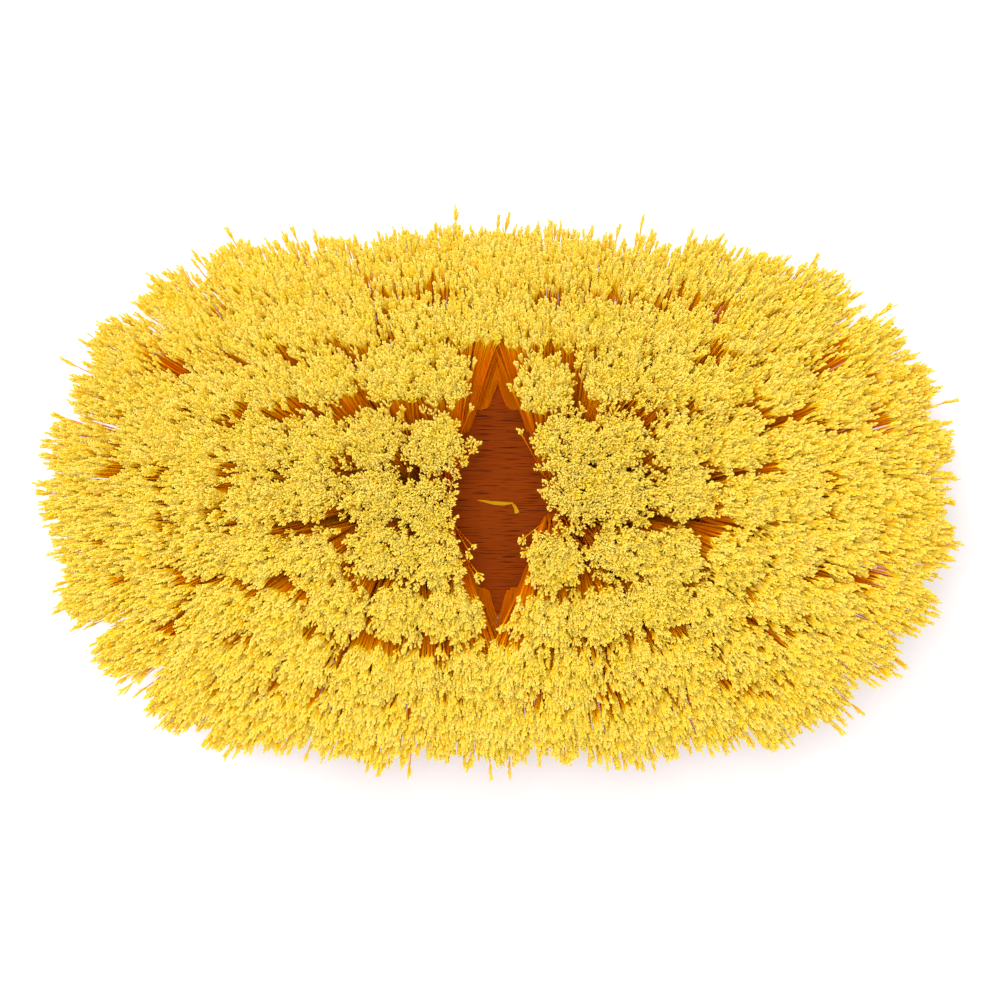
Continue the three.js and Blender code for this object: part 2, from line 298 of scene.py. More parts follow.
def flagged_bristle():
    """Matt yellow plastic bristle: orange down in the tuft and gold at its end, painted shade for its
    deep shadows; lemon at its split tips, partly their own paler colour and partly painted light.

    The attribute along goes from 0 to 1 up a strand and from 1 to 2 up its splinters.
    """
    material, tree = new_material("flagged_bristle")
    along = add(tree, "ShaderNodeAttribute", output="Fac", attribute_name="along")
    shade = add(tree, "ShaderNodeAttribute", output="Fac", attribute_name="shade")
    streak = round_noise(tree, grain=6 * MM, detail=2.0)
    # Painted shade: the orange shafts and the gold below the split ends stand for the colour of the
    # tuft's shadows. Painted light in part: the lemon heads on the lit ends.
    shaft_painted_shade = blend(tree, shade, srgb("#FF7A00"), srgb("#FF9A00"))
    head_and_painted_light = blend(tree, streak, srgb("#F9DF0A"), srgb("#FAEC84"))
    tone = blend(tree, rise(tree, along, low=0.8, high=1.1), shaft_painted_shade, srgb("#FACC0C"))
    tone = blend(tree, rise(tree, along, low=1.5, high=2.05), tone, head_and_painted_light)
    rough = between(tree, streak, low=0.4, high=0.6)
    finish_material(tree, **{
        "Base Color": tone, "Roughness": rough, "Diffuse Roughness": 1.0,
        "IOR": 1.54, "Specular IOR Level": 0.1,
    })
    return material


def extruded_vinyl():
    """Light grey extruded vinyl: satin, with faint mottling and drawing lines."""
    material, tree = new_material("extruded_vinyl")
    mottle = round_noise(tree, grain=9 * MM, detail=3.0)
    lines = long_noise(tree, grain=(60 * MM, 60 * MM, 0.7 * MM), detail=2.0)
    tone = blend(tree, mottle, srgb("#BFBECA"), srgb("#D2D1DA"))
    bump = add(tree, "ShaderNodeBump", {"Height": lines, "Strength": 0.2, "Distance": 0.08 * MM})
    rough = between(tree, mottle, low=0.36, high=0.52)
    finish_material(tree, **{"Base Color": tone, "Roughness": rough, "Normal": bump, "IOR": 1.53})
    return material


def plated_steel(name, grain, light, dark):
    """Bright steel: fine drawing marks that change its gloss a little."""
    material, tree = new_material(name)
    marks = round_noise(tree, grain, detail=4.0)
    tone = blend(tree, marks, srgb(light), srgb(dark))
    bump = add(tree, "ShaderNodeBump", {"Height": marks, "Strength": 0.15, "Distance": 0.03 * MM})
    rough = between(tree, marks, low=0.25, high=0.45)
    finish_material(tree, **{
        "Base Color": tone, "Metallic": 1.0, "Roughness": rough, "Normal": bump,
    })
    return material


def seen_directly(tree):
    """1 for the rays of the camera, of reflections and through clear materials, else 0."""
    paths = tree.nodes.new("ShaderNodeLightPath").outputs
    seen = calc(tree, "MAXIMUM", paths["Is Camera Ray"], paths["Is Glossy Ray"])
    return calc(tree, "MAXIMUM", seen, paths["Is Transmission Ray"])


def floor_paint():
    """Matt white studio floor, lifted to white where the camera or a reflection sees it."""
    material, tree = new_material("floor_paint")
    finish_material(tree, **{
        "Base Color": srgb("#F2F2F2"), "Roughness": 0.9,
        "Emission Color": (1.0, 1.0, 1.0, 1.0),
        "Emission Strength": calc(tree, "MULTIPLY", seen_directly(tree), FLOOR_LIFT),
    })
    return material


def new_piece(name, mesh):
    piece = bpy.data.objects.new(name, mesh)
    bpy.context.scene.collection.objects.link(piece)
    return piece


def loft(name, rings, closed=False):
    """Mesh through rings of equally many points, capped at its ends or closed onto itself."""
    count = len(rings[0])
    faces = []
    for ring in range(len(rings) if closed else len(rings) - 1):
        low = ring * count
        high = (ring + 1) % len(rings) * count
        for i in range(count):
            after = (i + 1) % count
            faces.append((low + i, low + after, high + after, high + i))
    if not closed:
        faces.append(tuple(reversed(range(count))))
        faces.append(tuple(range((len(rings) - 1) * count, len(rings) * count)))
    mesh = bpy.data.meshes.new(name)
    mesh.from_pydata([point for ring in rings for point in ring], [], faces)
    return mesh


def close_and_shade(mesh):
    """Points the faces outwards and shades them smooth up to sharp edges."""
    shape = bmesh.new()
    shape.from_mesh(mesh)
    bmesh.ops.remove_doubles(shape, verts=shape.verts, dist=WELD_DISTANCE)
    bmesh.ops.recalc_face_normals(shape, faces=shape.faces)
    for face in shape.faces:
        face.smooth = True
    for edge in shape.edges:
        edge.smooth = edge.calc_face_angle(0) < SHARP_EDGE
    shape.to_mesh(mesh)
    shape.free()


def plain_mesh(piece):
    """The piece's evaluated shape as a mesh of its own, with no modifier left."""
    graph = bpy.context.evaluated_depsgraph_get()
    mesh = bpy.data.meshes.new_from_object(piece.evaluated_get(graph), depsgraph=graph)
    piece.modifiers.clear()
    piece.data = mesh
    return piece


def cut(piece, meshes):
    """Takes closed meshes out of a piece."""
    cutters = [new_piece("cutter", mesh) for mesh in meshes]
    for cutter in cutters:
        step = piece.modifiers.new("cut", "BOOLEAN")
        step.object = cutter
        step.operation = "DIFFERENCE"
        step.solver = "MANIFOLD"
    plain_mesh(piece)
    for cutter in cutters:
        bpy.data.objects.remove(cutter)


def new_tree(name, sizes):
    """A geometry tree with named inputs, and the sockets that give them inside it."""
    tree = bpy.data.node_groups.new(name, "GeometryNodeTree")
    tree.interface.new_socket("Geometry", in_out="OUTPUT", socket_type="NodeSocketGeometry")
    for label, kind in [("Geometry", "Geometry"), *sizes]:
        tree.interface.new_socket(label, in_out="INPUT", socket_type="NodeSocket" + kind)
    return tree, tree.nodes.new("NodeGroupInput").outputs


def grow(piece, tree, sizes):
    """Runs a geometry tree on a piece with these sizes and keeps the plain mesh."""
    growth = piece.modifiers.new("growth", "NODES")
    growth.node_group = tree
    for socket in tree.interface.items_tree:
        if socket.in_out == "INPUT" and socket.name in sizes:
            growth[socket.identifier] = sizes[socket.name]
    return plain_mesh(piece)


def store(tree, geometry, name, value, kind="FLOAT"):
    """Keeps a value on each point under a name."""
    return add(tree, "GeometryNodeStoreNamedAttribute", {
        "Geometry": geometry, "Name": name, "Value": value,
    }, data_type=kind, domain="POINT")


def read(tree, name, kind="FLOAT"):
    """The value that each point has under a name."""
    return add(tree, "GeometryNodeInputNamedAttribute", {"Name": name}, data_type=kind)


def draw(tree, seed, name, low=0.0, high=1.0):
    """A random value for each point between low and high, on a seed of its own."""
    seed = calc(tree, "ADD", seed, float(DRAWS[name]))
    kind = "FLOAT_VECTOR" if isinstance(low, tuple) else "FLOAT"
    return add(tree, "FunctionNodeRandomValue", {"Min": low, "Max": high, "Seed": seed}, data_type=kind)


def stadium(offset, z):
    """The block's outline, moved outwards by offset."""
    radius = END_RADIUS + offset
    points = []
    for side in (1, -1):
        for i in range(END_STEPS + 1):
            angle = math.pi * (i / END_STEPS - side / 2)
            x = side * SPINE + radius * math.cos(angle)
            points.append(Vector((x, radius * math.sin(angle), z)))
    return points


# Drilling layout
def row_length(row):
    """How far along its row the last hole is. The outermost rows run on round the ends."""
    share = abs(row) / ROWS_PER_SIDE
    if share < 1:
        return SPINE + EDGE_REACH * math.sqrt(1 - share * share)
    neighbour = math.asin((ROWS_PER_SIDE - 1) / ROWS_PER_SIDE)
    return SPINE + EDGE_REACH * (math.pi / 2 - neighbour) / 2


def tuft_place(row, along):
    """Place of the hole that is so far along its row."""
    y = row * ROW_PITCH
    if abs(row) < ROWS_PER_SIDE or along < SPINE:
        return Vector((along, y))
    angle = (along - SPINE) / EDGE_REACH
    return Vector((SPINE + EDGE_REACH * math.sin(angle), y * math.cos(angle)))


def row_tufts(row):
    """Roots and tips of a row's tufts, on both sides of the socket."""
    first = FIRST_TUFT[abs(row)] * TUFT_PITCH
    first_tip = FIRST_TIP[row + ROWS_PER_SIDE] * TUFT_PITCH
    run = row_length(row) - first
    steps = max(1, round(run / TUFT_PITCH))
    last_tip = tuft_place(row, row_length(row)).x * FAN_ALONG
    tufts = []
    for i in range(steps + 1):
        root = tuft_place(row, first + run * i / steps)
        tuck = END_TUCK * (root.x / (SPINE + EDGE_REACH)) ** 2
        tip = Vector((first_tip + (last_tip - first_tip) * i / steps, root.y * FAN_ACROSS * (1 - tuck)))
        for side in (1, -1):
            tufts.append((Vector((side * root.x, root.y)), Vector((side * tip.x, tip.y))))
    return tufts


def hole_middle(root, depth):
    """Middle of a tuft's slanted hole at a depth under the block's face."""
    share = depth / DRILL_DEPTH
    return Vector((
        root.x * (1 - (1 - HOLE_DRAW_ALONG) * share),
        root.y * (1 - (1 - HOLE_DRAW_ACROSS) * share),
        BLOCK_THICKNESS - depth,
    ))


ALL_ROWS = range(-ROWS_PER_SIDE, ROWS_PER_SIDE + 1)


# Hardwood block
def drilled_holes():
    """One mesh of the holes of all tufts, each slanted as its tuft leans."""
    shape = bmesh.new()
    for row in ALL_ROWS:
        for root, _ in row_tufts(row):
            rings = []
            for depth in (DRILL_DEPTH, -CUT_REACH):
                middle = hole_middle(root, depth)
                rings.append([
                    shape.verts.new((
                        middle.x + HOLE_RADIUS * math.cos(2 * math.pi * i / HOLE_SIDES),
                        middle.y + HOLE_RADIUS * math.sin(2 * math.pi * i / HOLE_SIDES),
                        middle.z,
                    )) for i in range(HOLE_SIDES)
                ])
            shape.faces.new(list(reversed(rings[0])))
            shape.faces.new(rings[1])
            for i in range(HOLE_SIDES):
                after = (i + 1) % HOLE_SIDES
                shape.faces.new((rings[0][i], rings[0][after], rings[1][after], rings[1][i]))
    mesh = bpy.data.meshes.new("drilled_holes")
    shape.to_mesh(mesh)
    shape.free()
    return mesh


def socket_cutters():
    """The bore and the thread of the handle socket."""
    place = Matrix.Translation((0, SOCKET_MOUTH_Y, 0)) @ Matrix.Rotation(-SOCKET_TILT, 4, "X")
    bore = [[
        place @ Vector((BORE_RADIUS * math.cos(a), BORE_RADIUS * math.sin(a), z))
        for a in (2 * math.pi * i / THREAD_STEPS for i in range(THREAD_STEPS))
    ] for z in (-2 * CUT_REACH, SOCKET_DEPTH)]
    turns = (SOCKET_DEPTH - THREAD_ROOT / 2) / THREAD_PITCH + 1
    steps = round(turns * THREAD_STEPS)
    inner = BORE_RADIUS - THREAD_DEPTH
    section = [
        (inner, THREAD_ROOT / 2), (THREAD_RADIUS, THREAD_CREST / 2),
        (THREAD_RADIUS, -THREAD_CREST / 2), (inner, -THREAD_ROOT / 2),
    ]
    thread = []
    for i in range(steps + 1):
        turn = turns * i / steps - 1
        angle = 2 * math.pi * turn
        thread.append([
            place @ Vector((r * math.cos(angle), r * math.sin(angle), turn * THREAD_PITCH + z))
            for r, z in section
        ])
    return [loft("socket_bore", bore), loft("socket_thread", thread)]


def groove_cutter():
    """Ring round the block where the bumper's tongue goes in."""
    depth = -TONGUE_DEPTH - FIT
    half = TONGUE_HEIGHT / 2 + FIT
    section = [
        (depth, BUMPER_MIDDLE - half), (CUT_REACH, BUMPER_MIDDLE - half),
        (CUT_REACH, BUMPER_MIDDLE + half), (depth, BUMPER_MIDDLE + half),
    ]
    return loft("bumper_groove", [stadium(offset, z) for offset, z in section], closed=True)


def make_block(wood):
    """Block with rounded edges, groove, drilled holes and handle socket."""
    levels = []
    for i in range(ROUND_STEPS + 1):
        angle = math.pi / 2 * i / ROUND_STEPS
        levels.append((-BACK_EDGE_ROUND * (1 - math.sin(angle)), BACK_EDGE_ROUND * (1 - math.cos(angle))))
    for i in range(ROUND_STEPS + 1):
        angle = math.pi / 2 * i / ROUND_STEPS
        inset = FACE_EDGE_ROUND * (1 - math.cos(angle))
        levels.append((-inset, BLOCK_THICKNESS - FACE_EDGE_ROUND * (1 - math.sin(angle))))
    block = new_piece("wood_block", loft("wood_block", [stadium(*level) for level in levels]))
    cutters = [groove_cutter(), drilled_holes(), *socket_cutters()]
    for mesh in [block.data, *cutters]:
        close_and_shade(mesh)
    cut(block, cutters)
    close_and_shade(block.data)
    block.data.materials.clear()
    block.data.materials.append(wood)
    return block


# Bumper strip
def bumper_path():
    """Line round the block's side, from one side of the joint to the other."""
    outline = stadium(0, BUMPER_MIDDLE)
    back = [p for p in outline if p.y > END_RADIUS - WELD_DISTANCE]
    turn = outline.index(back[-1])
    loop = outline[turn:] + outline[:turn]
    start = Vector((BUMPER_JOINT_X - BUMPER_JOINT / 2, END_RADIUS, BUMPER_MIDDLE))
    end = Vector((BUMPER_JOINT_X + BUMPER_JOINT / 2, END_RADIUS, BUMPER_MIDDLE))
    points = [start, *loop, end]
    mesh = bpy.data.meshes.new("bumper_path")
    mesh.from_pydata(points, [(i, i + 1) for i in range(len(points) - 1)], [])
    return mesh


def bumper_section():
    """Closed outline of the strip: flat back with a tongue, and rounded outer edges."""
    half = (bumper_high.z - bumper_low.z) / 2
    points = [(FIT, -half)]
    for side in (-1, 1):
        for i in range(ROUND_STEPS + 1):
            angle = math.pi / 2 * (i / ROUND_STEPS if side > 0 else i / ROUND_STEPS - 1)
            points.append((
                BUMPER_THICKNESS - BUMPER_ROUND * (1 - math.cos(angle)),
                side * (half - BUMPER_ROUND) + BUMPER_ROUND * math.sin(angle),
            ))
    points.append((FIT, half))
    points.append((FIT, TONGUE_HEIGHT / 2))
    points.append((-TONGUE_DEPTH, TONGUE_HEIGHT / 2))
    points.append((-TONGUE_DEPTH, -TONGUE_HEIGHT / 2))
    points.append((FIT, -TONGUE_HEIGHT / 2))
    mesh = bpy.data.meshes.new("bumper_section")
    edges = [(i, (i + 1) % len(points)) for i in range(len(points))]
    mesh.from_pydata([(x, y, 0) for x, y in points], edges, [])
    return new_piece("bumper_section", mesh)


def strip_tree():
    """Sweeps a section along a path."""
    tree, size = new_tree("strip_along_path", [("Section", "Object"), ("Material", "Material")])
    path = add(tree, "GeometryNodeMeshToCurve", {"Mesh": size["Geometry"]})
    path = add(tree, "GeometryNodeSetCurveNormal", {"Curve": path}, mode="Z_UP")
    shown = add(tree, "GeometryNodeObjectInfo", {"Object": size["Section"]}, output="Geometry")
    section = add(tree, "GeometryNodeMeshToCurve", {"Mesh": shown})
    strip = add(tree, "GeometryNodeCurveToMesh", {
        "Curve": path, "Profile Curve": section, "Fill Caps": True,
    })
    strip = add(tree, "GeometryNodeRealizeInstances", {"Geometry": strip})
    strip = add(tree, "GeometryNodeSetMaterial", {"Geometry": strip, "Material": size["Material"]})
    add(tree, "NodeGroupOutput", {"Geometry": strip})
    return tree


def make_bumper(vinyl):
    section = bumper_section()
    bumper = new_piece("vinyl_bumper", bumper_path())
    grow(bumper, strip_tree(), {"Section": section, "Material": vinyl})
    bpy.data.objects.remove(section)
    close_and_shade(bumper.data)
    return bumper


# Tacks
def tack_places():
    """Where each tack meets the block's side, and the way that its head faces."""
    back = [BUMPER_JOINT_X - TACK_FROM_JOINT, BUMPER_JOINT_X + TACK_FROM_JOINT, -TACK_SIDE_X]
    front = [-TACK_SIDE_X, 0, TACK_SIDE_X]
    places = [((x, END_RADIUS, BUMPER_MIDDLE), (0, 1, 0)) for x in back]
    places += [((x, -END_RADIUS, BUMPER_MIDDLE), (0, -1, 0)) for x in front]
    for side in (1, -1):
        places.append(((side * BLOCK_LENGTH / 2, 0, BUMPER_MIDDLE), (side, 0, 0)))
    return places


def one_tack():
    """A tack along Z with a domed head, its zero at the block's side."""
    seat = BUMPER_THICKNESS - TACK_HEAD_HEIGHT / 2
    tip = seat - TACK_LENGTH
    profile = [(TACK_POINT_RADIUS, tip), (TACK_SHANK_RADIUS, tip + TACK_POINT_LENGTH)]
    profile += [(TACK_SHANK_RADIUS, seat), (TACK_HEAD_RADIUS, seat)]
    for i in range(ROUND_STEPS):
        angle = math.pi / 2 * i / ROUND_STEPS
        rise_share = TACK_RIM_SHARE + (1 - TACK_RIM_SHARE) * math.sin(angle)
        profile.append((TACK_HEAD_RADIUS * math.cos(angle), seat + TACK_HEAD_HEIGHT * rise_share))
    turns = [2 * math.pi * i / TACK_SIDES for i in range(TACK_SIDES)]
    rings = [[(r * math.cos(a), r * math.sin(a), z) for a in turns] for r, z in profile]
    return new_piece("one_tack", loft("one_tack", rings))


def tack_tree():
    """Sets a tack on each point, turned the way that the point faces."""
    tree, size = new_tree("tacks_in_strip", [("Tack", "Object"), ("Material", "Material")])
    facing = read(tree, "facing", "FLOAT_VECTOR")
    turn = add(tree, "FunctionNodeAlignRotationToVector", {"Vector": facing}, axis="Z")
    shown = add(tree, "GeometryNodeObjectInfo", {"Object": size["Tack"]}, output="Geometry")
    tacks = add(tree, "GeometryNodeInstanceOnPoints", {
        "Points": add(tree, "GeometryNodeMeshToPoints", {"Mesh": size["Geometry"]}),
        "Instance": shown, "Rotation": turn,
    })
    tacks = add(tree, "GeometryNodeRemoveAttribute", {"Geometry": tacks, "Name": "facing"})
    tacks = add(tree, "GeometryNodeRealizeInstances", {"Geometry": tacks})
    tacks = add(tree, "GeometryNodeSetMaterial", {"Geometry": tacks, "Material": size["Material"]})
    add(tree, "NodeGroupOutput", {"Geometry": tacks})
    return tree


def make_tacks(steel):
    places = tack_places()
    mesh = bpy.data.meshes.new("bumper_tacks")
    mesh.from_pydata([place for place, _ in places], [], [])
    facing = mesh.attributes.new("facing", "FLOAT_VECTOR", "POINT")
    for point, (_, way) in zip(facing.data, places):
        point.vector = way
    tack = one_tack()
    tacks = grow(new_piece("bumper_tacks", mesh), tack_tree(), {"Tack": tack, "Material": steel})
    bpy.data.objects.remove(tack)
    close_and_shade(tacks.data)
    return tacks


# Bristles
def bars_along(tree, points, bars, thickness, bend):
    """Sets a unit bar on each point, stretched along the point's reach and bent outwards."""
    bars = store(tree, bars, "local", add(tree, "GeometryNodeInputPosition"), "FLOAT_VECTOR")
    grown = add(tree, "GeometryNodeInstanceOnPoints", {"Points": points, "Instance": bars})
    grown = add(tree, "GeometryNodeRealizeInstances", {"Geometry": grown})
    local = read(tree, "local", "FLOAT_VECTOR")
    along = add(tree, "ShaderNodeSeparateXYZ", {"Vector": local}, output="Z")
    slow = calc(tree, "MULTIPLY_ADD", along, -1.0, 1.0)
    slow = calc(tree, "MULTIPLY", slow, bend)
    slow = calc(tree, "SUBTRACT", 1.0, slow)
    sideways = calc(tree, "MULTIPLY", along, slow)
    path = add(tree, "ShaderNodeCombineXYZ", {"X": sideways, "Y": sideways, "Z": along})
    spine = vector_calc(tree, "MULTIPLY", read(tree, "reach", "FLOAT_VECTOR"), path)
    flat = vector_calc(tree, "MULTIPLY", local, (1.0, 1.0, 0.0))
    place = vector_calc(tree, "MULTIPLY_ADD", flat, thickness, spine)
    offset = vector_calc(tree, "SUBTRACT", place, local)
    grown = store(tree, grown, "along", along)
    return add(tree, "GeometryNodeSetPosition", {"Geometry": grown, "Offset": offset})


def splinters_along(tree, points, thickness):
    """Sets a splinter on each point, as long as the point's reach and turned along it."""
    splinter = add(tree, "GeometryNodeMeshCone", {
        "Vertices": 3, "Side Segments": 1, "Radius Top": 1.0, "Radius Bottom": 0.0, "Depth": 1.0,
    }, fill_type="NGON")
    place = add(tree, "GeometryNodeInputPosition")
    up = add(tree, "ShaderNodeSeparateXYZ", {"Vector": place}, output="Z")
    splinter = store(tree, splinter, "along", calc(tree, "ADD", up, 1.0))
    reach = read(tree, "reach", "FLOAT_VECTOR")
    length = vector_calc(tree, "LENGTH", reach)
    grown = add(tree, "GeometryNodeInstanceOnPoints", {
        "Points": points, "Instance": splinter,
        "Rotation": add(tree, "FunctionNodeAlignRotationToVector", {"Vector": reach}, axis="Z"),
        "Scale": add(tree, "ShaderNodeCombineXYZ", {"X": thickness, "Y": thickness, "Z": length}),
    })
    return add(tree, "GeometryNodeRealizeInstances", {"Geometry": grown})


def tuft_tree():
    """Grows the strands of each tuft from its hole to its tips and splits their ends."""
    tree, size = new_tree("split_tip_tufts", [
        ("Strands", "Int"), ("Root Radius", "Float"), ("Tip Spread", "Vector"),
        ("Tuft Sway", "Float"), ("Strand Sway", "Float"),
        ("Trim Length", "Float"), ("Trim Scatter", "Float"),
        ("Rim Drop", "Float"), ("Rim Reach", "Float"), ("Tuft Dome", "Float"),
        ("Strand Radius", "Float"), ("Strand Bend", "Float"),
        ("Splinters", "Int"), ("Splinter Length", "Float"), ("Splinter Spread", "Float"),
        ("Splinter Stretch", "Float"), ("Splinter Radius", "Float"),
        ("Stray Sway", "Float"), ("Stray Share", "Float"),
        ("Seed", "Int"), ("Material", "Material"),
    ])
    seed = size["Seed"]

    # Each tuft leans and turns a little its own way
    tufts = add(tree, "GeometryNodeMeshToPoints", {"Mesh": size["Geometry"]})
    sway = draw(tree, seed, "tuft sway", *BOTH_WAYS)
    aim = vector_calc(tree, "MULTIPLY_ADD", sway, size["Tuft Sway"], read(tree, "tip", "FLOAT_VECTOR"))
    tufts = store(tree, tufts, "tip", aim, "FLOAT_VECTOR")
    tufts = store(tree, tufts, "twist", draw(tree, seed, "twist", 0.0, 2 * math.pi))
    strands = add(tree, "GeometryNodeDuplicateElements", {
        "Geometry": tufts, "Amount": size["Strands"],
    }, domain="POINT")

    # A strand's spot in the round hole and in the spread tips, packed evenly in a spiral
    index = strands.node.outputs["Duplicate Index"]
    out = calc(tree, "SQRT", calc(tree, "DIVIDE", index, size["Strands"]))
    turn = calc(tree, "MULTIPLY_ADD", index, STRAND_TURN, read(tree, "twist"))
    spot = add(tree, "ShaderNodeVectorRotate", {
        "Vector": add(tree, "ShaderNodeCombineXYZ", {"X": out}), "Angle": turn,
    }, rotation_type="Z_AXIS")
    hole = add(tree, "GeometryNodeInputPosition")
    root = vector_calc(tree, "MULTIPLY_ADD", spot, size["Root Radius"], hole)
    splay = scaled(tree, size["Tip Spread"], read(tree, "splay"))
    aim = vector_calc(tree, "MULTIPLY_ADD", spot, splay, read(tree, "tip", "FLOAT_VECTOR"))

    # Its sway, more for the share of strays
    sway = draw(tree, seed, "strand sway", *BOTH_WAYS)
    loose = add(tree, "ShaderNodeMapRange", {
        "Value": draw(tree, seed, "stray"), "From Min": size["Stray Share"], "From Max": 0.0,
        "To Min": size["Strand Sway"], "To Max": size["Stray Sway"],
    })
    aim = vector_calc(tree, "MULTIPLY_ADD", sway, loose, aim)

    # Its length: shorter the further it leans and the nearer it is to the tuft's edge
    lean = vector_calc(tree, "SUBTRACT", aim, root)
    far = calc(tree, "DIVIDE", vector_calc(tree, "LENGTH", lean), size["Rim Reach"])
    far = calc(tree, "MULTIPLY", far, far)
    drop = calc(tree, "MULTIPLY", far, size["Rim Drop"])
    edge = calc(tree, "MULTIPLY", out, out)
    drop = calc(tree, "MULTIPLY_ADD", edge, size["Tuft Dome"], drop)
    height = calc(tree, "SUBTRACT", size["Trim Length"], drop)
    scatter = draw(tree, seed, "trim", -1.0, 0.0)
    height = calc(tree, "MULTIPLY_ADD", scatter, size["Trim Scatter"], height)
    flat = vector_calc(tree, "MULTIPLY", lean, (1.0, 1.0, 0.0))
    reach = vector_calc(tree, "ADD", flat, add(tree, "ShaderNodeCombineXYZ", {"Z": height}))
    strands = store(tree, strands, "reach", reach, "FLOAT_VECTOR")

    # How far its end opens: less for some, and less the further it leans
    shade = draw(tree, seed, "shade")
    strands = store(tree, strands, "shade", shade)
    opening = between(tree, shade, low=LEAST_BURST, high=1.0)
    closing = between(tree, far, low=1.0, high=RIM_BURST)
    strands = store(tree, strands, "burst", calc(tree, "MULTIPLY", opening, closing))

    strands = add(tree, "GeometryNodeSetPosition", {"Geometry": strands, "Position": root})
    bar = add(tree, "GeometryNodeMeshCylinder", {
        "Vertices": 3, "Side Segments": 3, "Radius": 1.0, "Depth": 1.0,
    }, fill_type="NGON")
    bar = add(tree, "GeometryNodeTransform", {"Geometry": bar, "Translation": (0.0, 0.0, 0.5)})
    shafts = bars_along(tree, strands, bar, size["Strand Radius"], size["Strand Bend"])

    # Split ends, spread round the way that the strand points
    reach = read(tree, "reach", "FLOAT_VECTOR")
    turned = calc(tree, "ADD", size["Strand Bend"], 1.0)
    turned = add(tree, "ShaderNodeCombineXYZ", {"X": turned, "Y": turned, "Z": 1.0})
    ahead = vector_calc(tree, "MULTIPLY", reach, turned)
    ends = add(tree, "GeometryNodeSetPosition", {"Geometry": strands, "Offset": reach})
    ends = add(tree, "GeometryNodeDuplicateElements", {
        "Geometry": ends, "Amount": size["Splinters"],
    }, domain="POINT")
    back = draw(tree, seed, "splinter start", -1.0, -LAST_SPLINTER)
    back = calc(tree, "MULTIPLY", back, size["Splinter Stretch"])
    ends = add(tree, "GeometryNodeSetPosition", {"Geometry": ends, "Offset": scaled(tree, ahead, back)})
    length = draw(tree, seed, "splinter length", SHORTEST_SPLINTER, 1.0)
    length = calc(tree, "MULTIPLY", length, size["Splinter Length"])
    ahead = scaled(tree, vector_calc(tree, "NORMALIZE", ahead), length)
    spread = draw(tree, seed, "splinter spread", *BOTH_WAYS)
    burst = calc(tree, "MULTIPLY", read(tree, "burst"), size["Splinter Spread"])
    ahead = vector_calc(tree, "MULTIPLY_ADD", spread, burst, ahead)
    ends = store(tree, ends, "reach", ahead, "FLOAT_VECTOR")
    heads = splinters_along(tree, ends, size["Splinter Radius"])

    grown = add(tree, "GeometryNodeJoinGeometry", {"Geometry": [shafts, heads]})
    grown = add(tree, "GeometryNodeSetShadeSmooth", {"Geometry": grown, "Shade Smooth": False})
    for spent in ("local", "reach", "tip", "splay", "twist", "burst"):
        grown = add(tree, "GeometryNodeRemoveAttribute", {"Geometry": grown, "Name": spent})
    grown = add(tree, "GeometryNodeRealizeInstances", {"Geometry": grown})
    grown = add(tree, "GeometryNodeSetMaterial", {"Geometry": grown, "Material": size["Material"]})
    add(tree, "NodeGroupOutput", {"Geometry": grown})
    return tree


def make_tufts(row, tree, bristle):
    """One row of tufts, grown from a point at each hole."""
    number = row + ROWS_PER_SIDE + 1
    name = f"tuft_row_{number}"
    level = BLOCK_THICKNESS - STRAND_ROOTING
    tufts = row_tufts(row)
    mesh = bpy.data.meshes.new(name)
    mesh.from_pydata([hole_middle(root, STRAND_ROOTING) for root, _ in tufts], [], [])
    tips = mesh.attributes.new("tip", "FLOAT_VECTOR", "POINT")
    for point, (_, tip) in zip(tips.data, tufts):
        point.vector = (tip.x, tip.y, level)
    splays = mesh.attributes.new("splay", "FLOAT", "POINT")
    for point, (root, _) in zip(splays.data, tufts):
        rim = max(abs(root.x) / (SPINE + EDGE_REACH), abs(root.y) / EDGE_REACH)
        point.value = 1 + RIM_SPLAY * rim ** RIM_SPLAY_POWER
    return grow(new_piece(name, mesh), tree, {
        "Strands": STRANDS_PER_TUFT,
        "Root Radius": TUFT_ROOT_RADIUS,
        "Tip Spread": (TUFT_TIP_ALONG, TUFT_TIP_ACROSS, 0.0),
        "Tuft Sway": TUFT_SWAY,
        "Strand Sway": STRAND_SWAY,
        "Trim Length": TRIM_LENGTH + STRAND_ROOTING,
        "Trim Scatter": TRIM_SCATTER,
        "Rim Drop": RIM_DROP,
        "Rim Reach": EDGE_REACH * (FAN_ACROSS - 1),
        "Tuft Dome": TUFT_DOME,
        "Strand Radius": STRAND_THICKNESS / 2,
        "Strand Bend": STRAND_BEND,
        "Splinters": SPLINTERS,
        "Splinter Length": SPLINTER_LENGTH,
        "Splinter Spread": SPLINTER_SPREAD,
        "Splinter Stretch": SPLINTER_STRETCH,
        "Splinter Radius": SPLINTER_THICKNESS / 2,
        "Stray Sway": STRAY_SWAY,
        "Stray Share": STRAY_SHARE,
        "Seed": FIRST_SEED + ROW_SEED * number,
        "Material": bristle,
    })


